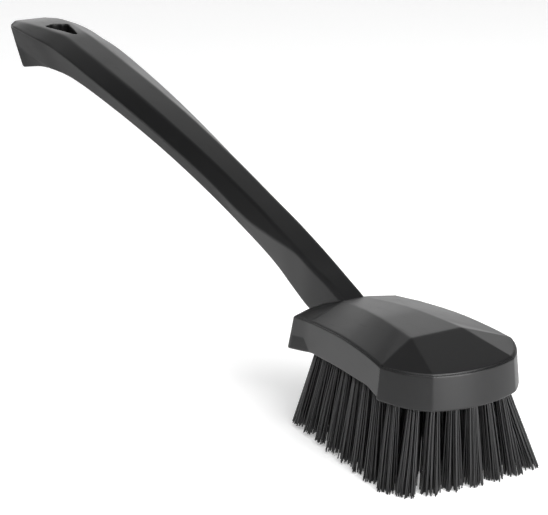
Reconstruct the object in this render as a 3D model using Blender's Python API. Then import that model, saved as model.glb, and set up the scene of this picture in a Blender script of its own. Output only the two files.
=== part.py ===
# Wash brush: one moulded body, long handle and bristle block in one piece,
# with staple-set tufts of bristle in blind sockets on its underside.
# Metres, +Z up. The nose points to +X, the left side is +Y, and the brush
# stands on its trimmed bristle tips at Z = 0, centred over the origin.

import math

import bmesh
import bpy
from mathutils import Vector

# Whole brush
overall_length = 0.415
front_draft = 0.0015
nose_x = overall_length / 2 - front_draft
tail_x = -overall_length / 2

# Block: arched slab with straight tapering sides, upright walls and a faceted top.
# A setback is a distance back from the nose.
bristle_height = 0.0362
block_height = 0.0230
nose_corner_setback = 0.0042
nose_corner_half_width = 0.0208
corner_pull_setback = 0.0115
corner_pull_half_width = 0.0305
shoulder_setback = 0.0226
shoulder_half_width = 0.0341
heel_setback = 0.0973
heel_half_width = 0.0276
side_hollow = 0.0004
tail_corner_setback = 0.1018
tail_corner_half_width = 0.0165
tail_centre_setback = 0.1048
ridge_front_setback = 0.0301
ridge_front_half_width = 0.0131
ridge_rear_setback = 0.0906
ridge_rear_half_width = 0.0055
facet_rear_setback = 0.0826
foot_flare = 0.0026
foot_flare_setback = 0.0933
foot_flare_height = 0.0062
rim_ledge = 0.0008
rim_riser = 0.0006
nose_arc_steps = 4
corner_steps = 6
side_steps = 6

# Block levels from the nose back. Each row is a setback as a share of heel_setback,
# then the foot, the rim and the ridge as shares of block_height above the bristles.
level_columns = ("place", "foot", "rim", "ridge")
block_level_shares = (
    (0.00, 0.045, 0.705, 0.990),
    (0.10, 0.062, 0.710, 0.990),
    (0.16, 0.088, 0.715, 0.990),
    (0.24, 0.115, 0.735, 0.990),
    (0.275, 0.138, 0.750, 0.991),
    (0.337, 0.205, 0.772, 0.995),
    (0.42, 0.185, 0.786, 1.000),
    (0.50, 0.172, 0.793, 1.000),
    (0.58, 0.160, 0.785, 0.996),
    (0.66, 0.140, 0.765, 0.974),
    (0.74, 0.112, 0.735, 0.942),
    (0.82, 0.074, 0.692, 0.900),
    (0.90, 0.018, 0.632, 0.852),
    (1.00, -0.026, 0.565, 0.810),
    (1.12, -0.026, 0.610, 0.790),
)

# Handle: a lofted octagon with a keel, rising to a level, flared pommel
valley_rise = 0.0187
valley_height = bristle_height + valley_rise
handle_rise = 0.0690
grip_half_width = 0.0186
grip_depth = 0.0230
pommel_chamfer = 0.0016
handle_steps = 34

# Hanging hole: a rounded triangle through the pommel, apex towards the block, rear edge bowed
hole_tail_margin = 0.0298
hole_length = 0.0264
hole_half_width = 0.0066
hole_corner_radius = 0.0026
hole_apex_radius = 0.0016
hole_rear_bow = 0.0018
hole_corner_steps = 4
hole_bow_steps = 6

# Tufts, their sockets and how they lean
tuft_radius = 0.0027
tuft_seat_clearance = 0.0003
socket_depth = 0.0100
socket_wall = 0.0020
tuft_sides = 8
field_rear_setback = 0.0873
outer_ring_pairs = 13
middle_ring_pairs = 8
inner_ring_pairs = 4
ring_spacing = 0.0086
tip_spread_share = 1.42
tip_nose_setback = 0.0002
tip_corner_lean = 0.0012
tip_corner_splay = 0.0037
tip_shoulder_lean = 0.0141
tip_shoulder_splay = 0.0055
tip_rear_lean = 0.0120
tip_rear_splay = 0.0020
tip_ring_spacing = 0.0094
strand_gap = 0.00022
strand_tip_share = 0.72

# One overrun serves every cut
cut_overrun = 0.0030

# Shares along the handle, from its buried root (0) to the pommel's end (1). Each row is:
# place, top height, top half width, edge half width, edge drop, belly half width,
# belly drop, keel half width, keel drop. Heights are shares of handle_rise over the
# valley, widths of grip_half_width and drops below the top of grip_depth.
handle_root_setback = 0.0828
handle_shares = (
    (0.000, -0.062, 0.29, 0.98, 0.21, 0.38, 0.42, 0.20, 0.50),
    (0.030, 0.000, 0.29, 0.86, 0.29, 0.37, 0.58, 0.21, 0.68),
    (0.063, 0.060, 0.29, 0.72, 0.42, 0.36, 0.76, 0.20, 0.86),
    (0.100, 0.130, 0.29, 0.59, 0.44, 0.34, 0.80, 0.18, 0.90),
    (0.140, 0.205, 0.29, 0.54, 0.40, 0.32, 0.78, 0.18, 0.87),
    (0.190, 0.292, 0.29, 0.54, 0.36, 0.32, 0.75, 0.18, 0.83),
    (0.250, 0.385, 0.30, 0.58, 0.29, 0.33, 0.70, 0.18, 0.78),
    (0.360, 0.540, 0.33, 0.65, 0.23, 0.36, 0.66, 0.20, 0.74),
    (0.480, 0.682, 0.35, 0.72, 0.20, 0.39, 0.68, 0.21, 0.76),
    (0.600, 0.803, 0.36, 0.80, 0.19, 0.42, 0.73, 0.22, 0.81),
    (0.720, 0.905, 0.365, 0.88, 0.17, 0.44, 0.78, 0.23, 0.87),
    (0.790, 0.957, 0.37, 0.92, 0.165, 0.45, 0.82, 0.24, 0.92),
    (0.838, 0.991, 0.37, 0.94, 0.187, 0.43, 0.89, 0.32, 0.95),
    (0.885, 1.000, 0.45, 0.99, 0.152, 0.45, 0.92, 0.30, 0.99),
    (0.935, 0.998, 0.57, 0.98, 0.124, 0.46, 0.84, 0.30, 1.06),
    (0.968, 0.993, 0.58, 0.89, 0.110, 0.47, 0.765, 0.28, 1.13),
    (1.000, 0.970, 0.52, 0.68, 0.113, 0.51, 0.59, 0.29, 1.17),
)

black_plastic = (0.012, 0.012, 0.013, 1.0)
black_bristle = (0.010, 0.010, 0.011, 1.0)


def back_from_nose(setback):
    return nose_x - setback


def mix(a, b, share):
    return a + (b - a) * share


def level(x, column):
    """Height of the foot, the rim or the ridge of the block at x."""
    place = (nose_x - x) / heel_setback
    rows = block_level_shares
    for low, high in zip(rows, rows[1:]):
        if place <= high[0]:
            break
    share = (place - low[0]) / (high[0] - low[0])
    index = level_columns.index(column)
    return bristle_height + block_height * mix(low[index], high[index], share)


def underside(x):
    return level(x, "foot")


def side_half_width(setback):
    """Half width of the block on its straight side, drawn in a little at the waist."""
    share = (setback - shoulder_setback) / (heel_setback - shoulder_setback)
    hollow = side_hollow * 4 * share * (1 - share)
    return mix(shoulder_half_width, heel_half_width, share) - hollow


def block_half_outline(rear_setback):
    """Plan outline from the nose's middle round the +Y side, as (setback, half width)."""
    points = []
    depth, width = nose_corner_setback, nose_corner_half_width
    radius = (depth * depth + width * width) / (2 * depth)
    for step in range(nose_arc_steps + 1):
        y = width * step / nose_arc_steps
        points.append((radius - math.sqrt(radius * radius - y * y), y))
    for step in range(1, corner_steps + 1):
        t = step / corner_steps
        near, pull, far = (1 - t) ** 2, 2 * t * (1 - t), t * t
        points.append((
            near * nose_corner_setback + pull * corner_pull_setback + far * shoulder_setback,
            near * nose_corner_half_width + pull * corner_pull_half_width + far * shoulder_half_width,
        ))
    for step in range(1, side_steps + 1):
        setback = mix(shoulder_setback, rear_setback, step / side_steps)
        points.append((setback, side_half_width(setback)))
    return points


def full_loop(half):
    """Close a half outline that starts and ends on the centre line."""
    plan = [Vector((back_from_nose(setback), y)) for setback, y in half]
    return plan + [Vector((p.x, -p.y)) for p in plan[-2:0:-1]]


def inset_loop(loop, distance):
    """Move every edge of a plan loop inwards by a distance, and find the new corners."""
    result = []
    for before, here, after in zip(loop[-1:] + loop[:-1], loop, loop[1:] + loop[:1]):
        first = (here - before).normalized()
        second = (after - here).normalized()
        outward = Vector((first.y + second.y, -first.x - second.x)).normalized()
        square = outward.dot(Vector((first.y, -first.x)))
        result.append(here - outward * (distance / square))
    return result


def mesh_object(name, bm):
    """Store a bmesh as a named object with its faces turned out."""
    bmesh.ops.recalc_face_normals(bm, faces=bm.faces)
    mesh = bpy.data.meshes.new(name)
    bm.to_mesh(mesh)
    bm.free()
    thing = bpy.data.objects.new(name, mesh)
    bpy.context.scene.collection.objects.link(thing)
    return thing


def finish(name, colour, roughness):
    material = bpy.data.materials.new(name)
    material.use_nodes = True
    shader = material.node_tree.nodes["Principled BSDF"]
    shader.inputs["Base Color"].default_value = colour
    shader.inputs["Roughness"].default_value = roughness
    shader.inputs["Metallic"].default_value = 0.0
    return material


def bridge(bm, lower, upper):
    """Join two rings of the same count with a band of faces."""
    count = len(lower)
    for i in range(count):
        j = (i + 1) % count
        bm.faces.new((lower[i], lower[j], upper[j], upper[i]))


def block_solid():
    """The bristle block: arched underside, upright wall with a rim, and a faceted top."""
    half = block_half_outline(facet_rear_setback)
    shoulder = nose_arc_steps + corner_steps
    facet_rear = len(half) - 1
    half.append((foot_flare_setback, side_half_width(foot_flare_setback)))
    half.append((heel_setback, heel_half_width))
    half.append((tail_corner_setback, tail_corner_half_width))
    half.append((tail_centre_setback, 0))
    last = len(half) - 1
    loop = full_loop(half)
    count = len(loop)

    def mirror(index):
        return (count - index) % count

    bm = bmesh.new()
    flared = {facet_rear + 1, facet_rear + 2, mirror(facet_rear + 1), mirror(facet_rear + 2)}
    drafted = inset_loop(loop, -front_draft)
    foot, waist, rim = [], [], []
    for index, p in enumerate(loop):
        out = foot_flare if index in flared else 0
        front = min(index, mirror(index)) < shoulder
        x, y = drafted[index] if front else (p.x, p.y + math.copysign(out, p.y))
        low, middle, high = underside(p.x), underside(p.x) + foot_flare_height, level(p.x, "rim")
        share = (high - middle) / (high - low)
        foot.append(bm.verts.new((x, y, low)))
        waist.append(bm.verts.new((mix(p.x, x, share), mix(p.y, y, share), middle)))
        rim.append(bm.verts.new((p.x, p.y, high)))
    ledge_plan = inset_loop(loop, rim_ledge)
    ledge = [bm.verts.new((q.x, q.y, level(p.x, "rim"))) for p, q in zip(loop, ledge_plan)]
    lip = [bm.verts.new((v.co.x, v.co.y, v.co.z + rim_riser)) for v in ledge]
    for lower, upper in ((foot, waist), (waist, rim), (rim, ledge), (ledge, lip)):
        bridge(bm, lower, upper)

    # The heel's foot starts to flare at an edge that slants from the foot up to the waist
    for here, after in ((facet_rear, facet_rear + 1), (mirror(facet_rear), mirror(facet_rear + 1))):
        panel = bm.faces.get((foot[here], foot[after], waist[after], waist[here]))
        bmesh.utils.face_split(panel, foot[after], waist[here])

    # Underside: strips straight across the arch
    bm.faces.new((foot[0], foot[1], foot[mirror(1)]))
    for i in range(1, last - 1):
        bm.faces.new((foot[i], foot[i + 1], foot[mirror(i + 1)], foot[mirror(i)]))
    bm.faces.new((foot[last - 1], foot[last], foot[mirror(last - 1)]))

    # Ridges between the middle facet and the side facets
    ridges = {1: [], -1: []}
    for step in range(side_steps + 1):
        share = step / side_steps
        x = back_from_nose(mix(ridge_front_setback, ridge_rear_setback, share))
        y = mix(ridge_front_half_width, ridge_rear_half_width, share)
        for side in (1, -1):
            ridges[side].append(bm.verts.new((x, side * y, level(x, "ridge"))))

    # Badge facet at the nose, then corner, side and heel facets on both sides
    nose_edge = [lip[mirror(i)] for i in range(nose_arc_steps, 0, -1)]
    nose_edge += [lip[i] for i in range(nose_arc_steps + 1)]
    bm.faces.new(nose_edge + [ridges[1][0], ridges[-1][0]])
    for side in (1, -1):
        edge = lip if side == 1 else [lip[mirror(i)] for i in range(last + 1)]
        ridge = ridges[side]
        for i in range(nose_arc_steps, shoulder):
            bm.faces.new((ridge[0], edge[i], edge[i + 1]))
        for step in range(side_steps):
            i = shoulder + step
            bm.faces.new((ridge[step], edge[i], edge[i + 1], ridge[step + 1]))
        for i in range(facet_rear, last):
            bm.faces.new((ridge[-1], edge[i], edge[i + 1]))
    for step in range(side_steps):
        bm.faces.new((ridges[1][step], ridges[1][step + 1], ridges[-1][step + 1], ridges[-1][step]))
    bm.faces.new((ridges[1][-1], lip[last], ridges[-1][-1]))
    return mesh_object("brush_body", bm)


def handle_row(place):
    """Shares of one handle station, by smooth interpolation of the table."""
    rows = handle_shares
    index = max(i for i in range(len(rows) - 1) if rows[i][0] <= place)
    low, high = rows[index], rows[index + 1]
    before = rows[max(index - 1, 0)]
    after = rows[min(index + 2, len(rows) - 1)]
    span = high[0] - low[0]
    t = (place - low[0]) / span
    values = []
    for k in range(1, len(low)):
        slope_low = (high[k] - before[k]) / (high[0] - before[0])
        slope_high = (after[k] - low[k]) / (after[0] - low[0])
        values.append(
            (2 * t ** 3 - 3 * t ** 2 + 1) * low[k]
            + (t ** 3 - 2 * t ** 2 + t) * span * slope_low
            + (3 * t ** 2 - 2 * t ** 3) * high[k]
            + (t ** 3 - t ** 2) * span * slope_high
        )
    return values


def handle_section(x, place, shrink):
    """Eight corners of the handle's section at x, drawn in by shrink at the pommel's rim."""
    top, top_w, edge_w, edge_drop, belly_w, belly_drop, keel_w, keel_drop = handle_row(place)
    crown = valley_height + top * handle_rise - shrink
    profile = (
        (top_w * grip_half_width - shrink, crown),
        (edge_w * grip_half_width - shrink, crown - edge_drop * grip_depth + shrink / 2),
        (belly_w * grip_half_width - shrink / 2, crown - belly_drop * grip_depth + shrink),
        (keel_w * grip_half_width - shrink / 2, crown - keel_drop * grip_depth + shrink),
    )
    right = [(x, -y, z) for y, z in profile]
    left = [(x, y, z) for y, z in reversed(profile)]
    return right + left


def handle_solid():
    """The handle: sections lofted from inside the block to the pommel's chamfered end."""
    bm = bmesh.new()
    root_x = back_from_nose(handle_root_setback)
    rings = []
    for step in range(handle_steps + 1):
        place = step / handle_steps
        x = mix(root_x, tail_x + pommel_chamfer, place)
        rings.append([bm.verts.new(p) for p in handle_section(x, min(place, 0.9999), 0)])
    rings.append([bm.verts.new(p) for p in handle_section(tail_x, 0.9999, pommel_chamfer)])
    for lower, upper in zip(rings, rings[1:]):
        bridge(bm, lower, upper)
    bm.faces.new(rings[0])
    bm.faces.new(rings[-1])
    return mesh_object("handle", bm)


def hole_outline():
    """Rounded triangle of the hanging hole in plan: rear corners, apex and bowed rear edge."""
    r, tip = hole_corner_radius, hole_apex_radius
    reach = hole_half_width - r
    rear = tail_x + hole_tail_margin + hole_rear_bow
    front = tail_x + hole_tail_margin + hole_length
    span = (front - tip) - (rear + r)
    slope = math.atan2(reach, span) + math.asin((r - tip) / math.hypot(reach, span))
    arcs = (
        (Vector((rear + r, -reach)), r, math.pi, 3 * math.pi / 2 + slope),
        (Vector((front - tip, 0)), tip, slope - math.pi / 2, math.pi / 2 - slope),
        (Vector((rear + r, reach)), r, math.pi / 2 - slope, math.pi),
    )
    points = []
    for centre, radius, start, stop in arcs:
        for step in range(hole_corner_steps + 1):
            angle = mix(start, stop, step / hole_corner_steps)
            points.append(centre + Vector((math.cos(angle), math.sin(angle))) * radius)
    for step in range(1, hole_bow_steps):
        across = 1 - 2 * step / hole_bow_steps
        points.append(Vector((rear - hole_rear_bow * (1 - across * across), reach * across)))
    return points


def hole_cutter():
    """Upright prism that cuts the hanging hole through the pommel."""
    bm = bmesh.new()
    top = valley_height + handle_rise + cut_overrun
    bottom = valley_height + handle_rise - 2 * grip_depth
    lower = [bm.verts.new((p.x, p.y, bottom)) for p in hole_outline()]
    upper = [bm.verts.new((p.x, p.y, top)) for p in hole_outline()]
    bridge(bm, lower, upper)
    bm.faces.new(lower)
    bm.faces.new(upper)
    return mesh_object("hanging_hole_cutter", bm)


def along(points, distance):
    """Point at a distance along a plan polyline."""
    for here, after in zip(points, points[1:]):
        length = (after - here).length
        if distance <= length:
            return here.lerp(after, distance / length)
        distance -= length
    return points[-1]


def ring_spots(half, inset, pairs):
    """Points spaced evenly round an outline, one on the centre line at each end."""
    loop = inset_loop(full_loop(half), inset)
    last = len(half) - 1
    side = loop[:last + 1]
    lengths = sum((b - a).length for a, b in zip(side, side[1:]))
    spots = []
    for step in range(pairs + 2):
        spot = along(side, lengths * step / (pairs + 1))
        spots.append(spot)
        if 0 < step < pairs + 1:
            spots.append(Vector((spot.x, -spot.y)))
    return spots


def tuft_layout():
    """Every tuft as (name, socket mouth, tip): three rings, one inside the other."""
    root_half = [
        (0, 0),
        (nose_corner_setback, nose_corner_half_width),
        (shoulder_setback, shoulder_half_width),
        (field_rear_setback, side_half_width(field_rear_setback)),
        (field_rear_setback, 0),
    ]
    tip_half = [
        (tip_nose_setback, 0),
        (nose_corner_setback - tip_corner_lean, nose_corner_half_width + tip_corner_splay),
        (shoulder_setback - tip_shoulder_lean, shoulder_half_width + tip_shoulder_splay),
        (field_rear_setback + tip_rear_lean, heel_half_width + tip_rear_splay),
        (field_rear_setback + tip_rear_lean, 0),
    ]
    root_inset = tuft_radius + tuft_seat_clearance + socket_wall
    tip_inset = tuft_radius * tip_spread_share
    rings = (("outer", outer_ring_pairs), ("middle", middle_ring_pairs), ("inner", inner_ring_pairs))
    layout = []
    for ring, (ring_name, pairs) in enumerate(rings):
        roots = ring_spots(root_half, root_inset + ring * ring_spacing, pairs)
        tips = ring_spots(tip_half, tip_inset + ring * tip_ring_spacing, pairs)
        for number, (root, end) in enumerate(zip(roots, tips), 1):
            mouth = Vector((root.x, root.y, underside(root.x)))
            layout.append((f"tuft_{ring_name}_{number:02d}", mouth, Vector((end.x, end.y, 0))))
    return layout


def octagon(bm, centre, radius):
    """Level ring of tuft_sides corners."""
    ring = []
    for k in range(tuft_sides):
        angle = math.tau * (k + 0.5) / tuft_sides
        ring.append(bm.verts.new((
            centre.x + radius * math.cos(angle),
            centre.y + radius * math.sin(angle),
            centre.z,
        )))
    return ring


def at_height(mouth, tip, z):
    """Point of a tuft's leaning axis at a height."""
    return tip.lerp(mouth, (z - tip.z) / (mouth.z - tip.z))


def socket_cutter(layout):
    """All blind sockets as one cutter: leaning prisms, a clearance wider than the tufts."""
    bm = bmesh.new()
    for _, mouth, tip in layout:
        low = at_height(mouth, tip, mouth.z - cut_overrun)
        deep = at_height(mouth, tip, mouth.z + socket_depth)
        lower = octagon(bm, low, tuft_radius + tuft_seat_clearance)
        upper = octagon(bm, deep, tuft_radius + tuft_seat_clearance)
        bridge(bm, lower, upper)
        bm.faces.new(lower)
        bm.faces.new(upper)
    return mesh_object("socket_cutter", bm)


def tuft_solid(name, mouth, tip):
    """One tuft: a root that fills its socket, and strands that fan out to a flat trim."""
    bm = bmesh.new()
    deep = at_height(mouth, tip, mouth.z + socket_depth - tuft_seat_clearance)
    root = octagon(bm, deep, tuft_radius)
    collar = octagon(bm, mouth, tuft_radius)
    bridge(bm, root, collar)
    bm.faces.new(root)
    face = bm.faces.new(collar)
    wedges = bmesh.ops.poke(bm, faces=[face])["faces"]
    bmesh.ops.inset_individual(bm, faces=wedges, thickness=strand_gap)
    strands = bmesh.ops.extrude_discrete_faces(bm, faces=wedges)["faces"]
    for strand in strands:
        middle = strand.calc_center_median()
        spread = tip + (middle - mouth) * tip_spread_share
        for v in strand.verts:
            end = spread + (v.co - middle) * strand_tip_share
            v.co = (end.x, end.y, tip.z)
    return mesh_object(name, bm)


def boolean(target, other, operation):
    """Apply a Boolean to the target and hide or drop the other solid."""
    modifier = target.modifiers.new(other.name, "BOOLEAN")
    modifier.operation = operation
    modifier.solver = "EXACT"
    modifier.object = other
    other.hide_render = True
    other.display_type = "WIRE"


def build():
    for thing in list(bpy.data.objects):
        bpy.data.objects.remove(thing, do_unlink=True)
    moulding = finish("black_polypropylene", black_plastic, 0.42)
    bristle = finish("black_bristle", black_bristle, 0.5)
    layout = tuft_layout()
    body = block_solid()
    boolean(body, handle_solid(), "UNION")
    boolean(body, hole_cutter(), "DIFFERENCE")
    boolean(body, socket_cutter(layout), "DIFFERENCE")
    body.data.materials.append(moulding)
    for name, mouth, tip in layout:
        tuft = tuft_solid(name, mouth, tip)
        tuft.data.materials.append(bristle)


build()
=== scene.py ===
# Wash brush for a studio picture: satin black moulding with a faceted block, and
# tufts of fine black bristle in leaning sockets. Metres, in the frame of the CAD part.
import math
import random

import bmesh
import bpy
from mathutils import Matrix, Vector


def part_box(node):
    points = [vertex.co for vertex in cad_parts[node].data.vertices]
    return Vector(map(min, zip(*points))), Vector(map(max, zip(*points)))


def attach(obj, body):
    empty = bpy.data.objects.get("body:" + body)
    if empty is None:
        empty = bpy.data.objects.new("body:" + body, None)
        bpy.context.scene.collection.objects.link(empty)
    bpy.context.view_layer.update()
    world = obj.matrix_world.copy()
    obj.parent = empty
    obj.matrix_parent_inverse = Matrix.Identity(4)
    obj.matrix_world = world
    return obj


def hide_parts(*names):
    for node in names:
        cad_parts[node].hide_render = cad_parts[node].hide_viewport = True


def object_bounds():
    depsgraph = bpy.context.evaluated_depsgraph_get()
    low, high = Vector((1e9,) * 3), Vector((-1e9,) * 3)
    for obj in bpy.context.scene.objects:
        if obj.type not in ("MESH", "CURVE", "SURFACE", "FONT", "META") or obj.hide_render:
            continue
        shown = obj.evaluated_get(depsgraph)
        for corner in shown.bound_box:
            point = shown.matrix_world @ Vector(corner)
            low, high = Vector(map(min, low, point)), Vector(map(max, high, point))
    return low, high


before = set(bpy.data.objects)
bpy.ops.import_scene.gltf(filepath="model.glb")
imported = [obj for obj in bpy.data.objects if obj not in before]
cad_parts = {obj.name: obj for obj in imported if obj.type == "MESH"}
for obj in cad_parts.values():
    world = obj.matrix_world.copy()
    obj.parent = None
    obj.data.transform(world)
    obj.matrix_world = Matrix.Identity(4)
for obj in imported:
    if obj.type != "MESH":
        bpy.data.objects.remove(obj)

cad_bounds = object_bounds()
random.seed(415)

# ---------------------------------------------------------------- sizes of the block
# The block and the handle follow the CAD body's driving sizes, with finer steps, rounded
# edges and small corrections. A setback is a distance back from the nose.
body_low, body_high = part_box("brush_body")
front_draft = 0.0015
nose_x = body_high.x - front_draft
tail_x = body_low.x
block_height = 0.0230
heel_foot_share = -0.026
bristle_height = body_low.z - heel_foot_share * block_height
nose_corner_setback = 0.0042
nose_corner_half_width = 0.0208
corner_pull_setback = 0.0115
corner_pull_half_width = 0.0305
shoulder_setback = 0.0226
shoulder_half_width = 0.0341
heel_setback = 0.0973
heel_half_width = 0.0276
side_hollow = 0.0004
tail_corner_setback = 0.1018
tail_corner_half_width = 0.0165
tail_centre_setback = 0.1048
ridge_front_setback = 0.0301
ridge_front_half_width = 0.0131
ridge_rear_setback = 0.0906
ridge_rear_half_width = 0.0055
facet_rear_setback = 0.0826

# The heel's foot flares out from facet_rear_setback to foot_flare_setback, through a
# triangle with its apex on the wall between them
foot_flare = 0.0026
foot_flare_setback = 0.0950
flare_apex_setback = 0.0876
foot_flare_height = 0.0062

# Rounds and the groove inside the rim
foot_round = 0.0008
rim_ledge = 0.0008
rim_round = 0.0006
rim_groove = 0.0004
rim_riser = 0.0005
lip_round = 0.0003
arris_round = 0.0005
shoulder_round = 0.0006
heel_round = 0.0014
tail_round = 0.0020
ridge_round = 0.0008
nose_arc_steps = 12
corner_steps = 16
side_steps = 20
round_steps = 6
ridge_round_steps = 3

# Edges that turn by more than this many degrees stay sharp, and shallower ones at the heel
sharp_from = 18
heel_crease_from = 4
heel_crease_reach = 0.0020

# Rows: setback as a share of heel_setback, then foot, rim and ridge as shares of
# block_height above the bristles
level_columns = ("place", "foot", "rim", "ridge")
block_level_shares = (
    (0.00, 0.045, 0.705, 0.990),
    (0.10, 0.062, 0.710, 0.990),
    (0.16, 0.088, 0.715, 0.990),
    (0.24, 0.115, 0.735, 0.990),
    (0.275, 0.138, 0.750, 0.991),
    (0.337, 0.205, 0.772, 0.995),
    (0.42, 0.185, 0.786, 1.000),
    (0.50, 0.172, 0.793, 1.000),
    (0.58, 0.160, 0.785, 0.996),
    (0.66, 0.140, 0.765, 0.974),
    (0.74, 0.112, 0.735, 0.942),
    (0.82, 0.096, 0.704, 0.900),
    (0.90, 0.036, 0.655, 0.852),
    (1.00, heel_foot_share, 0.597, 0.810),
    (1.12, heel_foot_share, 0.630, 0.790),
)

# ---------------------------------------------------------------- sizes of the handle
# The grip's last section and the rounded pommel after it keep the shares at pommel_place
valley_rise = 0.0187
valley_height = bristle_height + valley_rise
handle_rise = body_high.z - valley_height
grip_half_width = 0.0186
grip_depth = 0.0230
pommel_chamfer = 0.0016
crown_shrink_share = 0.45
pommel_steps = 6
pommel_place = 0.9999
handle_steps = 110
handle_root_setback = 0.0828
handle_edge_round = 0.0013
handle_edge_share = 0.3
handle_edge_steps = 5

# Rows: place from the buried root to the pommel, top height, top half width, edge half
# width, edge drop, belly half width, belly drop, keel half width, keel drop
handle_shares = (
    (0.000, -0.036, 0.27, 0.33, 0.060, 0.49, 0.60, 0.20, 0.68),
    (0.030, 0.024, 0.27, 0.33, 0.060, 0.48, 0.70, 0.20, 0.79),
    (0.063, 0.082, 0.28, 0.34, 0.060, 0.47, 0.79, 0.19, 0.89),
    (0.100, 0.139, 0.32, 0.37, 0.060, 0.46, 0.82, 0.18, 0.92),
    (0.140, 0.206, 0.33, 0.39, 0.070, 0.40, 0.83, 0.18, 0.91),
    (0.190, 0.286, 0.34, 0.50, 0.190, 0.34, 0.79, 0.18, 0.87),
    (0.250, 0.374, 0.33, 0.59, 0.300, 0.35, 0.75, 0.18, 0.83),
    (0.360, 0.523, 0.35, 0.65, 0.265, 0.38, 0.72, 0.20, 0.80),
    (0.480, 0.666, 0.37, 0.75, 0.230, 0.40, 0.72, 0.21, 0.80),
    (0.600, 0.791, 0.37, 0.85, 0.200, 0.42, 0.745, 0.22, 0.825),
    (0.720, 0.899, 0.365, 0.92, 0.166, 0.44, 0.78, 0.23, 0.87),
    (0.790, 0.957, 0.37, 0.94, 0.160, 0.45, 0.82, 0.24, 0.92),
    (0.838, 0.991, 0.37, 0.94, 0.187, 0.43, 0.89, 0.32, 0.95),
    (0.885, 0.998, 0.45, 0.99, 0.152, 0.45, 0.92, 0.30, 0.99),
    (0.935, 0.997, 0.57, 0.98, 0.124, 0.46, 0.84, 0.30, 1.06),
    (0.968, 0.987, 0.58, 0.89, 0.110, 0.47, 0.765, 0.28, 1.13),
    (1.000, 0.966, 0.52, 0.68, 0.113, 0.51, 0.59, 0.29, 1.17),
)

hole_tail_margin = 0.0298
hole_length = 0.0264
hole_half_width = 0.0066
hole_corner_radius = 0.0026
hole_apex_radius = 0.0016
hole_rear_bow = 0.0018
hole_corner_steps = 8
hole_bow_steps = 12
hole_rim_round = 0.0008
cut_overrun = 0.0030

# ---------------------------------------------------------------- sizes of the bristle
tuft_radius = 0.0027
socket_clearance = 0.0003
socket_depth = 0.0100
socket_sides = 16
strands_per_tuft = 56
strand_sides = 5
strand_rows = 5
strand_radius = 0.00034
thickness_jitter = 0.15
strand_taper = 0.92
root_depth = 0.0040
root_fill = 0.84
packing_jitter = 0.3
tip_spread = 1.93
spread_jitter = 0.1
tip_jitter = 0.00022
strand_bow = 0.0004
trim_ragged = 0.0009

# The bristle has taken a set: between these places the tips come to lean to the +Y side and,
# on that side, forwards. Towards the rear of the -Y side they are worn shorter instead.
set_start_x = 0.115
set_full_x = 0.190
set_sideways = 0.0026
set_forward = 0.0036
set_rear_sideways = 0.0003
set_rise = 0.0024

# ---------------------------------------------------------------- small helpers


def mix(a, b, share):
    return a + (b - a) * share


def clamp(value, low, high):
    return min(max(value, low), high)


def flat_turn(angle):
    """Unit vector in plan at an angle from +X."""
    return Vector((math.cos(angle), math.sin(angle), 0))


def quarter_turns(first, steps):
    """How far a quarter round has come in and up at each of its steps, from 0 to 1."""
    for step in range(first, steps + 1):
        turn = math.pi / 2 * step / steps
        yield 1 - math.cos(turn), math.sin(turn)


def mesh_object(name, bm, smooth=True):
    """Store a bmesh as a named object with its faces turned out."""
    bmesh.ops.recalc_face_normals(bm, faces=bm.faces)
    for face in bm.faces:
        face.smooth = smooth
    mesh = bpy.data.meshes.new(name)
    bm.to_mesh(mesh)
    bm.free()
    thing = bpy.data.objects.new(name, mesh)
    bpy.context.scene.collection.objects.link(thing)
    return thing


def band(bm, rings):
    """Join each ring to the next one, of the same count, with a band of faces."""
    for lower, upper in zip(rings, rings[1:]):
        for i in range(len(lower)):
            j = (i + 1) % len(lower)
            bm.faces.new((lower[i], lower[j], upper[j], upper[i]))


def closed_tube(bm, rings):
    band(bm, rings)
    bm.faces.new(rings[0])
    bm.faces.new(rings[-1])


def round_corner(before, corner, after, reach, steps, share=0.45):
    """Points of a small curve in place of a corner."""
    back = min(reach, (before - corner).length * share)
    ahead = min(reach, (after - corner).length * share)
    start = corner + (before - corner).normalized() * back
    stop = corner + (after - corner).normalized() * ahead
    points = []
    for step in range(steps + 1):
        t = step / steps
        points.append(start * (1 - t) ** 2 + corner * (2 * t * (1 - t)) + stop * t ** 2)
    return points


def neighbours(loop):
    """Each point of a closed loop with the one before it and the one after it."""
    return zip(loop[-1:] + loop[:-1], loop, loop[1:] + loop[:1])


def inset_loop(loop, distance):
    """Move every edge of a plan loop inwards by a distance, and find the new corners."""
    result = []
    for before, here, after in neighbours(loop):
        first = (here - before).normalized()
        second = (after - here).normalized()
        outward = Vector((first.y + second.y, -first.x - second.x)).normalized()
        square = outward.dot(Vector((first.y, -first.x)))
        result.append(here - outward * (distance / square))
    return result


def boolean(target, other, operation):
    """Join another object to the target or cut it out, and remove it."""
    modifier = target.modifiers.new(other.name, "BOOLEAN")
    modifier.operation = operation
    modifier.solver = "EXACT"
    modifier.object = other
    depsgraph = bpy.context.evaluated_depsgraph_get()
    mesh = bpy.data.meshes.new_from_object(target.evaluated_get(depsgraph))
    target.modifiers.clear()
    target.data = mesh
    bpy.data.objects.remove(other, do_unlink=True)


# ---------------------------------------------------------------- the block


def level(x, column):
    """Height of the foot, the rim or the ridge of the block at x."""
    place = (nose_x - x) / heel_setback
    rows = block_level_shares
    for low, high in zip(rows, rows[1:]):
        if place <= high[0]:
            break
    share = (place - low[0]) / (high[0] - low[0])
    index = level_columns.index(column)
    return bristle_height + block_height * mix(low[index], high[index], share)


def foot(x):
    return level(x, "foot")


def rim(x):
    return level(x, "rim")


def side_half_width(setback):
    share = (setback - shoulder_setback) / (heel_setback - shoulder_setback)
    hollow = side_hollow * 4 * share * (1 - share)
    return mix(shoulder_half_width, heel_half_width, share) - hollow


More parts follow.
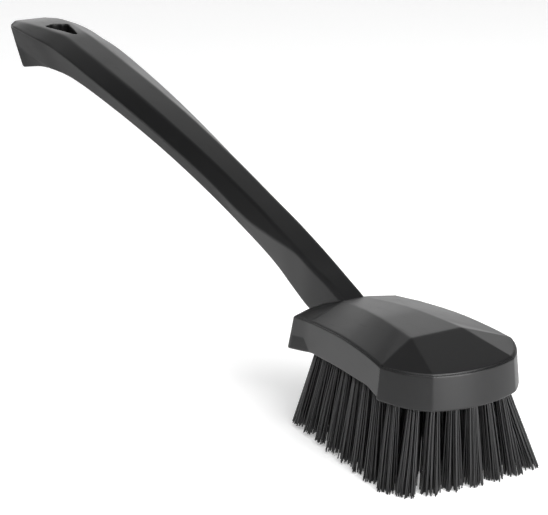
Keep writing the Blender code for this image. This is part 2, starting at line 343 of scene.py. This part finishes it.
def half_outline():
    """Plan of the block from the nose round the +Y side, with the place of each corner."""
    points = []
    marks = {}
    depth, width = nose_corner_setback, nose_corner_half_width
    radius = (depth * depth + width * width) / (2 * depth)
    for step in range(nose_arc_steps + 1):
        y = width * step / nose_arc_steps
        points.append((radius - math.sqrt(radius * radius - y * y), y))
    marks["arris"] = len(points) - 1
    for step in range(1, corner_steps + 1):
        t = step / corner_steps
        near, pull, far = (1 - t) ** 2, 2 * t * (1 - t), t * t
        setback = near * depth + pull * corner_pull_setback + far * shoulder_setback
        y = near * width + pull * corner_pull_half_width + far * shoulder_half_width
        points.append((setback, y))
    marks["shoulder"] = len(points) - 1
    for step in range(1, side_steps + 1):
        setback = mix(shoulder_setback, facet_rear_setback, step / side_steps)
        points.append((setback, side_half_width(setback)))
    marks["facet_rear"] = len(points) - 1
    for name, setback, y in (
        ("apex", flare_apex_setback, side_half_width(flare_apex_setback)),
        ("flare", foot_flare_setback, side_half_width(foot_flare_setback)),
        ("heel", heel_setback, heel_half_width),
        ("tail_corner", tail_corner_setback, tail_corner_half_width),
    ):
        points.append((setback, y))
        marks[name] = len(points) - 1
    points.append((tail_centre_setback, 0))
    corners = [Vector((nose_x - setback, y)) for setback, y in points]

    rounds = {
        marks["arris"]: arris_round,
        marks["shoulder"]: shoulder_round,
        marks["heel"]: heel_round,
        marks["tail_corner"]: tail_round,
    }
    outline = []
    found = {}
    for index, here in enumerate(corners):
        if index in rounds:
            before, after = corners[index - 1], corners[index + 1]
            curve = round_corner(before, here, after, rounds[index], round_steps)
        else:
            curve = [here]
        for name, mark in marks.items():
            if mark == index:
                found[name] = len(outline) + len(curve) // 2
        outline += curve
    return outline, found


half_plan, places = half_outline()
plan = half_plan + [Vector((p.x, -p.y)) for p in half_plan[-2:0:-1]]
last = len(half_plan) - 1


def mirror(index):
    """Place in the plan of the same point on the other side."""
    return (len(plan) - index) % len(plan)


flare_apexes = {places["apex"], mirror(places["apex"])}


def foot_outline():
    """Plan of the foot: drafted out along the front, and flared at the heel."""
    front = {i for i in range(len(plan)) if min(i, mirror(i)) < places["shoulder"]}
    flared = set()
    for i in range(places["flare"], places["tail_corner"] - round_steps):
        flared |= {i, mirror(i)}
    flare_length = foot_flare_setback - facet_rear_setback
    apex_share = (flare_apex_setback - facet_rear_setback) / flare_length
    drafted = inset_loop(plan, -front_draft)
    outline = []
    for index, p in enumerate(plan):
        if index in front:
            outline.append(drafted[index])
        else:
            out = foot_flare if index in flared else 0
            if index in flare_apexes:
                out = foot_flare * apex_share
            outline.append(Vector((p.x, p.y + math.copysign(out, p.y))))
    return outline


def wall_rings(bm):
    """Rings of corners up the wall: the sole, its round, the waist, the rim's round and groove."""
    foot_plan = foot_outline()
    sole_plan = inset_loop(foot_plan, foot_round)
    rings = [[bm.verts.new((q.x, q.y, foot(p.x))) for p, q in zip(plan, sole_plan)]]
    for inward, upward in quarter_turns(1, round_steps):
        rings.append([
            bm.verts.new((*a.lerp(b, upward), foot(p.x) + foot_round * inward))
            for a, b, p in zip(sole_plan, foot_plan, plan)
        ])
    waist = []
    for index, (p, q) in enumerate(zip(plan, foot_plan)):
        z = foot(p.x) + foot_flare_height
        share = (rim(p.x) - z) / (rim(p.x) - foot(p.x))
        middle = p if index in flare_apexes else p.lerp(q, share)
        waist.append(bm.verts.new((middle.x, middle.y, z)))
    rings.append(waist)

    riser_inset = rim_ledge + rim_groove / 2
    steps = [
        (rim_round * inward, rim_round * (upward - 1))
        for inward, upward in quarter_turns(0, round_steps)
    ]
    steps += [
        (rim_ledge - rim_groove / 2, 0),
        (rim_ledge, -rim_groove),
        (riser_inset, -rim_groove),
        (riser_inset, rim_riser - lip_round),
        (riser_inset + lip_round, rim_riser),
    ]
    for inset, rise in steps:
        inner = inset_loop(plan, inset)
        rings.append([bm.verts.new((q.x, q.y, rim(p.x) + rise)) for p, q in zip(plan, inner)])
    return rings


def split_heel_panels(bm, foot_ring, waist):
    """Crease the heel's wall into a triangle, its apex on the waist and its base on the foot."""
    start, top, stop = (places[name] for name in ("facet_rear", "apex", "flare"))
    for turned in (lambda i: i, mirror):
        for here, after, low in ((start, top, start), (top, stop, stop)):
            panel = bm.faces.get((
                foot_ring[turned(here)], foot_ring[turned(after)],
                waist[turned(after)], waist[turned(here)],
            ))
            bmesh.utils.face_split(panel, foot_ring[turned(low)], waist[turned(top)])


def close_underside(bm, sole):
    """Fill the sole with strips straight across the arch."""
    bm.faces.new((sole[0], sole[1], sole[mirror(1)]))
    for i in range(1, last - 1):
        bm.faces.new((sole[i], sole[i + 1], sole[mirror(i + 1)], sole[mirror(i)]))
    bm.faces.new((sole[last - 1], sole[last], sole[mirror(last - 1)]))


def faceted_top(bm, lip):
    """Fill the lip with facets, and return the edges between them that are to be rounded."""
    ridges = {1: [], -1: []}
    for step in range(side_steps + 1):
        share = step / side_steps
        x = nose_x - mix(ridge_front_setback, ridge_rear_setback, share)
        y = mix(ridge_front_half_width, ridge_rear_half_width, share)
        for side in (1, -1):
            ridges[side].append(bm.verts.new((x, side * y, level(x, "ridge"))))
    lips = {1: lip[:last + 1], -1: [lip[mirror(i)] for i in range(last + 1)]}

    arris, shoulder, facet_rear = places["arris"], places["shoulder"], places["facet_rear"]
    heel, tail_corner = places["heel"], places["tail_corner"]
    badge_edge = lips[-1][arris:0:-1] + lips[1][:arris + 1]
    bm.faces.new(badge_edge + [ridges[1][0], ridges[-1][0]])
    rounded = [(ridges[1][0], ridges[-1][0])]
    for side in (1, -1):
        edge, ridge = lips[side], ridges[side]
        bm.faces.new([ridge[0]] + edge[arris:shoulder + 1])
        along = facet_rear - shoulder
        for step in range(side_steps):
            start = shoulder + round(step * along / side_steps)
            stop = shoulder + round((step + 1) * along / side_steps)
            bm.faces.new([ridge[step + 1], ridge[step]] + edge[start:stop + 1])
        for start, stop in ((facet_rear, heel), (heel, tail_corner), (tail_corner, last)):
            bm.faces.new([ridge[-1]] + edge[start:stop + 1])
        rounded += list(zip(ridge, ridge[1:]))
        rounded += [(ridge[0], edge[arris]), (ridge[0], edge[shoulder])]
        rounded += [(ridge[-1], edge[facet_rear])]
    left, right = ridges[1], ridges[-1]
    for step in range(side_steps):
        bm.faces.new((left[step], left[step + 1], right[step + 1], right[step]))
    bm.faces.new((left[-1], lip[last], right[-1]))
    return [bm.edges.get(pair) for pair in rounded]


def block_solid():
    """The block: arched underside, drafted wall with a rounded rim, groove and faceted top."""
    bm = bmesh.new()
    rings = wall_rings(bm)
    band(bm, rings)
    split_heel_panels(bm, rings[round_steps], rings[round_steps + 1])
    close_underside(bm, rings[0])
    edges = faceted_top(bm, rings[-1])

    # The faces are turned out first: the rounding tears where two neighbours disagree
    bmesh.ops.recalc_face_normals(bm, faces=bm.faces[:])
    bmesh.ops.bevel(
        bm, geom=edges, offset=ridge_round, offset_type="OFFSET", segments=ridge_round_steps,
        profile=0.5, affect="EDGES", clamp_overlap=False,
    )
    return mesh_object("moulded_body", bm)


# ---------------------------------------------------------------- the handle


def handle_row(place):
    """Shares of one handle station, by smooth interpolation of the table."""
    rows = handle_shares
    index = max(i for i in range(len(rows) - 1) if rows[i][0] <= place)
    low, high = rows[index], rows[index + 1]
    before = rows[max(index - 1, 0)]
    after = rows[min(index + 2, len(rows) - 1)]
    span = high[0] - low[0]
    t = (place - low[0]) / span
    values = []
    for k in range(1, len(low)):
        slope_low = (high[k] - before[k]) / (high[0] - before[0])
        slope_high = (after[k] - low[k]) / (after[0] - low[0])
        values.append(
            (2 * t ** 3 - 3 * t ** 2 + 1) * low[k]
            + (t ** 3 - 2 * t ** 2 + t) * span * slope_low
            + (3 * t ** 2 - 2 * t ** 3) * high[k]
            + (t ** 3 - t ** 2) * span * slope_high
        )
    return values


def handle_section(x, place, shrink):
    """The handle's section at x: eight corners, each rounded, drawn in by shrink."""
    top, top_w, edge_w, edge_drop, belly_w, belly_drop, keel_w, keel_drop = handle_row(place)
    crown = valley_height + top * handle_rise - shrink * crown_shrink_share
    width, depth = grip_half_width, grip_depth
    profile = (
        Vector((top_w * width - shrink, crown)),
        Vector((edge_w * width - shrink, crown - edge_drop * depth + shrink / 2)),
        Vector((belly_w * width - shrink / 2, crown - belly_drop * depth + shrink)),
        Vector((keel_w * width - shrink / 2, crown - keel_drop * depth + shrink)),
    )
    corners = [Vector((-p.x, p.y)) for p in profile] + list(reversed(profile))
    points = []
    for before, here, after in neighbours(corners):
        points += round_corner(
            before, here, after, handle_edge_round, handle_edge_steps, handle_edge_share
        )
    return [Vector((x, p.x, p.y)) for p in points]


def handle_solid():
    """The handle, from its root inside the block to the rounded end of the grip."""
    bm = bmesh.new()
    root_x = nose_x - handle_root_setback
    rings = []
    for step in range(handle_steps + 1):
        place = step / handle_steps
        x = mix(root_x, tail_x + pommel_chamfer, place)
        section = handle_section(x, min(place, pommel_place), 0)
        rings.append([bm.verts.new(p) for p in section])
    for inward, upward in quarter_turns(1, pommel_steps):
        x = tail_x + pommel_chamfer * (1 - upward)
        section = handle_section(x, pommel_place, pommel_chamfer * inward)
        rings.append([bm.verts.new(p) for p in section])
    closed_tube(bm, rings)
    return mesh_object("handle", bm)


def hole_outline(grow):
    """Rounded triangle of the hanging hole in plan, its rear edge bowed, grown by a margin."""
    r, tip = hole_corner_radius, hole_apex_radius
    reach = hole_half_width - r
    rear = tail_x + hole_tail_margin + hole_rear_bow
    front = tail_x + hole_tail_margin + hole_length
    span = (front - tip) - (rear + r)
    slope = math.atan2(reach, span) + math.asin((r - tip) / math.hypot(reach, span))
    arcs = (
        (Vector((rear + r, -reach)), r, math.pi, 3 * math.pi / 2 + slope),
        (Vector((front - tip, 0)), tip, slope - math.pi / 2, math.pi / 2 - slope),
        (Vector((rear + r, reach)), r, math.pi / 2 - slope, math.pi),
    )
    points = []
    for centre, radius, start, stop in arcs:
        for step in range(hole_corner_steps + 1):
            angle = mix(start, stop, step / hole_corner_steps)
            points.append(centre + flat_turn(angle).xy * (radius + grow))
    for step in range(1, hole_bow_steps):
        across = 1 - 2 * step / hole_bow_steps
        bow = hole_rear_bow * (1 - across * across)
        points.append(Vector((rear - grow - bow, reach * across)))
    return points


def hole_cutter():
    """Upright cutter of the hanging hole, flared at the top so that it leaves a rounded rim."""
    top = valley_height + handle_rise
    levels = [(0, top - 2 * grip_depth)]
    for inward, upward in quarter_turns(0, round_steps):
        levels.append((hole_rim_round * inward, top - hole_rim_round * (1 - upward)))
    levels.append((hole_rim_round, top + cut_overrun))
    bm = bmesh.new()
    closed_tube(bm, [
        [bm.verts.new((p.x, p.y, z)) for p in hole_outline(grow)] for grow, z in levels
    ])
    return mesh_object("hanging_hole_cutter", bm)


# ---------------------------------------------------------------- tufts, from the frame


def tuft_ends(node):
    """Middle of a CAD tuft at its socket's mouth, its highest level but one, and at its tips."""
    corners = {tuple(round(c, 6) for c in v.co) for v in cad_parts[node].data.vertices}
    heights = sorted({c[2] for c in corners})

    def middle(height):
        level_corners = [Vector(c) for c in corners if c[2] == height]
        return sum(level_corners, Vector()) / len(level_corners)

    return middle(heights[-2]), middle(heights[0])


tufts = {n: tuft_ends(n) for n in sorted(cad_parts) if n.startswith("tuft_")}


def socket_cutter():
    """All blind sockets as one cutter, a clearance wider than the tufts."""
    bm = bmesh.new()
    reach = Vector((tuft_radius + socket_clearance, 0, 0))
    turns = [Matrix.Rotation(math.tau * k / socket_sides, 3, "Z") for k in range(socket_sides)]
    for mouth, tip in tufts.values():
        lean = (mouth - tip) / (mouth.z - tip.z)
        closed_tube(bm, [
            [bm.verts.new(centre + turn @ reach) for turn in turns]
            for centre in (mouth - lean * cut_overrun, mouth + lean * socket_depth)
        ])
    return mesh_object("socket_cutter", bm)


def tip_shift(tip):
    """How far the bristle's set has moved a tuft's trimmed end."""
    share = clamp((tip.x - set_start_x) / (set_full_x - set_start_x), 0, 1)
    left = clamp(tip.y / shoulder_half_width, 0, 1)
    right = clamp(-tip.y / shoulder_half_width, 0, 1)
    return Vector((
        set_forward * share * left,
        mix(set_rear_sideways, set_sideways, share),
        set_rise * (1 - share) * right,
    ))


def bristle_piece(node):
    """One tuft of fine strands: packed in its socket, fanned out and trimmed a little unevenly."""
    mouth, tip = tufts[node]
    root = mouth + (mouth - tip) / (mouth.z - tip.z) * root_depth
    tip = tip + tip_shift(tip)
    bm = bmesh.new()
    shade = bm.verts.layers.float.new("strand_shade")
    low, high = cad_bounds
    margin = strand_radius * (1 + thickness_jitter)
    golden = math.pi * (3 - math.sqrt(5))
    for number in range(strands_per_tuft):
        radius = tuft_radius * root_fill * math.sqrt((number + 0.5) / strands_per_tuft)
        angle = golden * number + random.uniform(-packing_jitter, packing_jitter)
        offset = flat_turn(angle) * radius
        jitter = Vector((random.gauss(0, tip_jitter), random.gauss(0, tip_jitter), 0))
        spread = random.uniform(1 - spread_jitter, 1 + spread_jitter)
        end = tip + offset * tip_spread * spread + jitter
        end.x = clamp(end.x, low.x + margin, high.x - margin)
        end.y = clamp(end.y, low.y + margin, high.y - margin)

        # The first strand keeps its full length, the others are trimmed a little unevenly
        end.z = tip.z + (trim_ragged * random.random() ** 2 if number else 0)
        bow = flat_turn(random.uniform(0, math.tau)) * random.uniform(0, strand_bow)
        thickness = strand_radius * random.uniform(1 - thickness_jitter, 1 + thickness_jitter)
        twist = random.uniform(0, math.tau)
        tone = random.random()
        rings = []
        for row in range(strand_rows + 1):
            t = row / strand_rows
            centre = (root + offset).lerp(end, t) + bow * math.sin(math.pi * t)
            width = thickness * mix(1, strand_taper, t)
            ring = []
            for k in range(strand_sides):
                vert = bm.verts.new(centre + flat_turn(twist + math.tau * k / strand_sides) * width)
                vert[shade] = tone
                ring.append(vert)
            rings.append(ring)
        closed_tube(bm, rings)
    return mesh_object(node.replace("tuft", "bristles"), bm)


# ---------------------------------------------------------------- finishes


def grey(value):
    return (value, value, value, 1)


class Wire:
    """A socket in a material, with Math nodes behind Python's operators."""

    def __init__(self, finish, socket):
        self.finish = finish
        self.socket = socket

    def math(self, operation, first, second):
        return self.finish.node("ShaderNodeMath", {"operation": operation}, {0: first, 1: second})

    def __add__(self, other):
        return self.math("ADD", self, other)

    __radd__ = __add__

    def __sub__(self, other):
        return self.math("SUBTRACT", self, other)

    def __rsub__(self, other):
        return self.math("SUBTRACT", other, self)

    def __mul__(self, other):
        return self.math("MULTIPLY", self, other)

    __rmul__ = __mul__


class Finish:
    """A material being built round its Principled shader."""

    def __init__(self, name, **constants):
        self.material = bpy.data.materials.new(name)
        self.material.use_nodes = True
        self.tree = self.material.node_tree
        self.shader = self.tree.nodes["Principled BSDF"]
        for key, value in constants.items():
            self.shader.inputs[key.replace("_", " ")].default_value = value

    def node(self, kind, settings=None, inputs=None, output=0):
        """Add a node: its settings first, then the values or links of its sockets."""
        made = self.tree.nodes.new(kind)
        for key, value in (settings or {}).items():
            if key == "stops":
                ramp = made.color_ramp.elements
                while len(ramp) < len(value):
                    ramp.new(0.5)
                for element, (place, shade) in zip(ramp, value):
                    element.position = place
                    element.color = grey(shade)
            else:
                setattr(made, key, value)
        for key, value in (inputs or {}).items():
            self.feed(made.inputs[key], value)
        return Wire(self, made.outputs[output])

    def feed(self, socket, value):
        if isinstance(value, Wire):
            self.tree.links.new(value.socket, socket)
        else:
            socket.default_value = value

    def place(self, stretch=(1, 1, 1)):
        """Position on the object in metres, stretched along each axis."""
        here = self.node("ShaderNodeTexCoord", output="Object")
        return self.node("ShaderNodeMapping", None, {"Vector": here, "Scale": stretch})

    def along(self, vector, axis):
        """One of a vector's X, Y and Z."""
        return self.node("ShaderNodeSeparateXYZ", None, {0: vector}, output=axis)

    def noise(self, scale, detail=2.0, roughness=0.5, stretch=(1, 1, 1)):
        where = self.place(stretch)
        inputs = {"Vector": where, "Scale": scale, "Detail": detail, "Roughness": roughness}
        return self.node("ShaderNodeTexNoise", None, inputs, output="Fac")

    def ramp(self, value, *stops):
        return self.node("ShaderNodeValToRGB", {"stops": stops}, {"Fac": value})

    def blend(self, a, b, factor):
        return self.node("ShaderNodeMix", {"data_type": "RGBA"}, {0: factor, 6: a, 7: b}, output=2)

    def bump(self, height, distance, strength=1.0, **over):
        """Bump from a height, on the surface's own normal or on the one given as Normal."""
        inputs = {"Height": height, "Distance": distance, "Strength": strength, **over}
        return self.node("ShaderNodeBump", None, inputs, output="Normal")

    def set(self, **sockets):
        for key, value in sockets.items():
            self.feed(self.shader.inputs[key.replace("_", " ")], value)
        return self.material


moulding_black = (0.0050, 0.0050, 0.0053, 1)
moulding_rubbed = (0.012, 0.012, 0.0125, 1)
bristle_black = (0.006, 0.006, 0.0065, 1)
bristle_scuffed = (0.02, 0.02, 0.021, 1)
grain_depth = 0.00002
edge_softness = 0.0009


def satin_moulding():
    """Black polypropylene with the fine grain of its mould, rubbed a little along the edges."""
    f = Finish("satin_black_moulding", IOR=1.49, Specular_IOR_Level=0.4)
    grain = f.noise(2600, 3.0, 0.6)
    patches = f.ramp(f.noise(38, 4.0, 0.6), (0.35, 0), (0.7, 1))
    scuffs = f.ramp(f.noise(420, 3.0, 0.7, (0.12, 1, 1)), (0.58, 0), (0.72, 1))
    soft_normal = f.node(
        "ShaderNodeBevel", {"samples": 6}, {"Radius": edge_softness}, output="Normal"
    )
    flat_normal = f.node("ShaderNodeNewGeometry", output="Normal")
    turned = f.node(
        "ShaderNodeVectorMath", {"operation": "DOT_PRODUCT"}, {0: soft_normal, 1: flat_normal},
        output="Value",
    )
    wear = f.ramp(1 - turned, (0.004, 0), (0.05, 1))

    # The grip's underside keeps the coarse texture of its mould, up to the first bend: it
    # fades from x = 13 mm to x = 70 mm
    down = f.ramp(-1 * f.along(flat_normal, "Z"), (0.05, 0), (0.2, 1))
    grip = f.ramp(f.along(f.place(), "X") * 4 + 0.5, (0.55, 1), (0.78, 0))
    rough = 0.34 + down * grip * 0.34 + patches * 0.035 + scuffs * 0.05 + grain * 0.03
    return f.set(
        Base_Color=f.blend(moulding_black, moulding_rubbed, wear * 0.7 + scuffs * 0.12),
        Roughness=rough - wear * 0.04,
        Normal=f.bump(grain, grain_depth, 0.35, Normal=soft_normal),
    )


def black_bristle():
    """Black polyester bristle: each strand its own tone, with pale scuffed cut ends."""
    f = Finish("black_bristle", IOR=1.5)
    shade = f.node("ShaderNodeAttribute", {"attribute_name": "strand_shade"}, output="Fac")
    streaks = f.noise(2400, 2.0, 0.5, (1, 1, 0.03))
    height_cm = f.along(f.place(), "Z") * 100
    cut_end = f.ramp(height_cm, (0.0, 1), (0.25, 0))
    return f.set(
        Base_Color=f.blend(bristle_black, bristle_scuffed, shade * 0.6 + cut_end * 0.4),
        Roughness=0.30 + shade * 0.14 + streaks * 0.06,
        Normal=f.bump(streaks, grain_depth, 0.4),
    )


def paper_floor():
    """White paper, lifted towards white where the camera or a reflection sees it."""
    f = Finish("paper_floor", Roughness=0.9, Specular_IOR_Level=0.0, Emission_Strength=1.0)
    tooth = f.noise(900, 2.0)
    seen = sum(
        f.node("ShaderNodeLightPath", output=ray)
        for ray in ("Is Camera Ray", "Is Glossy Ray", "Is Transmission Ray")
    )
    return f.set(
        Base_Color=f.blend(grey(0.92), grey(0.94), tooth),
        Emission_Color=f.blend(grey(0), grey(0.28), seen),
    )


# ---------------------------------------------------------------- put the brush together


def crease_heel(mesh):
    """Keep the shallow edges of the heel's triangles crisp: they are below sharp_from."""
    rear, front = nose_x - foot_flare_setback, nose_x - facet_rear_setback
    top = foot(rear) + foot_flare_height
    bm = bmesh.new()
    bm.from_mesh(mesh)
    for edge in bm.edges:
        middle = (edge.verts[0].co + edge.verts[1].co) / 2
        if len(edge.link_faces) != 2 or abs(middle.y) < heel_half_width:
            continue
        if rear < middle.x < front and middle.z < top + heel_crease_reach:
            if edge.calc_face_angle() > math.radians(heel_crease_from):
                edge.smooth = False
    bm.to_mesh(mesh)
    bm.free()


def dress_body():
    """The moulding in one piece: block and handle joined, then the hole and the sockets cut."""
    body = block_solid()
    boolean(body, handle_solid(), "UNION")
    boolean(body, hole_cutter(), "DIFFERENCE")
    boolean(body, socket_cutter(), "DIFFERENCE")
    body.name = "moulded_body"
    mesh = body.data
    for polygon in mesh.polygons:
        polygon.use_smooth = True
    mesh.set_sharp_from_angle(angle=math.radians(sharp_from))
    crease_heel(mesh)
    weighted = body.modifiers.new("weighted_normals", "WEIGHTED_NORMAL")
    weighted.keep_sharp = True
    body.data.materials.clear()
    body.data.materials.append(satin_moulding())
    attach(body, "root")
    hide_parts("brush_body")


def dress_tufts():
    """A bundle of fine strands in place of each CAD tuft."""
    material = black_bristle()
    for node in tufts:
        piece = bristle_piece(node)
        piece.data.materials.append(material)
        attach(piece, "root")
        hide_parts(node)


dress_body()
dress_tufts()

# ---------------------------------------------------------------- floor, light and camera

floor_reach = 8.0
world_grey = 0.08

# The camera and the lamps face this point. Azimuths count from +X towards +Y, in degrees.
target = Vector((0.04961, 0, 0.05527))
camera_azimuth = -32.66
camera_elevation = 18.42
camera_roll = -1.0
camera_distance = 0.93414
camera_lens = 131.45
camera_clip = (0.01, 50)

# Rows: name, azimuth, elevation, distance, width, height, radiance
softboxes = (
    ("overhead_softbox", -20, 60, 2.3, 2.6, 2.2, 2.8),
    ("rear_low_softbox", 146, 12, 3.0, 2.5, 1.3, 1.4),
    ("rear_high_softbox", 155, 32, 3.0, 2.4, 0.8, 0.55),
    ("left_softbox", -155, 14, 2.6, 1.5, 1.2, 1.0),
    ("front_strip", 8, 9, 1.2, 0.62, 0.40, 13.0),
    ("front_rim_strip", 10, 35, 1.3, 1.2, 0.30, 8.0),
    ("left_rim_strip", -98, 30, 1.5, 0.8, 0.3, 2.0),
)


def studio_floor():
    bm = bmesh.new()
    corners = [(x, y, 0) for x, y in ((-1, -1), (1, -1), (1, 1), (-1, 1))]
    bm.faces.new([bm.verts.new(Vector(c) * floor_reach) for c in corners])
    floor = mesh_object("floor", bm, smooth=False)
    floor.data.materials.append(paper_floor())


def toward(azimuth, elevation):
    """Unit vector at an azimuth and an elevation."""
    a, e = math.radians(azimuth), math.radians(elevation)
    return Vector((math.cos(e) * math.cos(a), math.cos(e) * math.sin(a), math.sin(e)))


def softbox(name, azimuth, elevation, distance, width, height, radiance):
    """Area light that faces the brush; its radiance is what a mirror would show."""
    lamp = bpy.data.lights.new(name, "AREA")
    lamp.shape = "RECTANGLE"
    lamp.size, lamp.size_y = width, height
    lamp.energy = radiance * math.pi * width * height
    thing = bpy.data.objects.new(name, lamp)
    bpy.context.scene.collection.objects.link(thing)
    back = toward(azimuth, elevation)
    thing.location = target + back * distance
    thing.rotation_mode = "QUATERNION"
    thing.rotation_quaternion = back.to_track_quat("Z", "Y")
    thing.visible_camera = False


def studio_light():
    """The softboxes, and a faint even light from the world."""
    for row in softboxes:
        softbox(*row)
    world = bpy.context.scene.world or bpy.data.worlds.new("studio")
    bpy.context.scene.world = world
    world.use_nodes = True
    background = world.node_tree.nodes["Background"]
    background.inputs["Color"].default_value = grey(world_grey)
    background.inputs["Strength"].default_value = 1.0


def photo_camera():
    """The camera of the photo, which is turned a little about its line of sight."""
    camera = bpy.data.objects.new("camera", bpy.data.cameras.new("camera"))
    bpy.context.scene.collection.objects.link(camera)
    camera.data.lens = camera_lens
    camera.data.clip_start, camera.data.clip_end = camera_clip
    back = toward(camera_azimuth, camera_elevation)
    right = Vector((0, 0, 1)).cross(back).normalized()
    up = back.cross(right)
    roll = math.radians(camera_roll)
    c, s = math.cos(roll), math.sin(roll)
    turn = Matrix((right * c - up * s, right * s + up * c, back)).transposed()
    camera.matrix_world = Matrix.Translation(target + back * camera_distance) @ turn.to_4x4()
    bpy.context.scene.camera = camera


studio_floor()
studio_light()
photo_camera()
bpy.context.scene.view_settings.view_transform = "Standard"
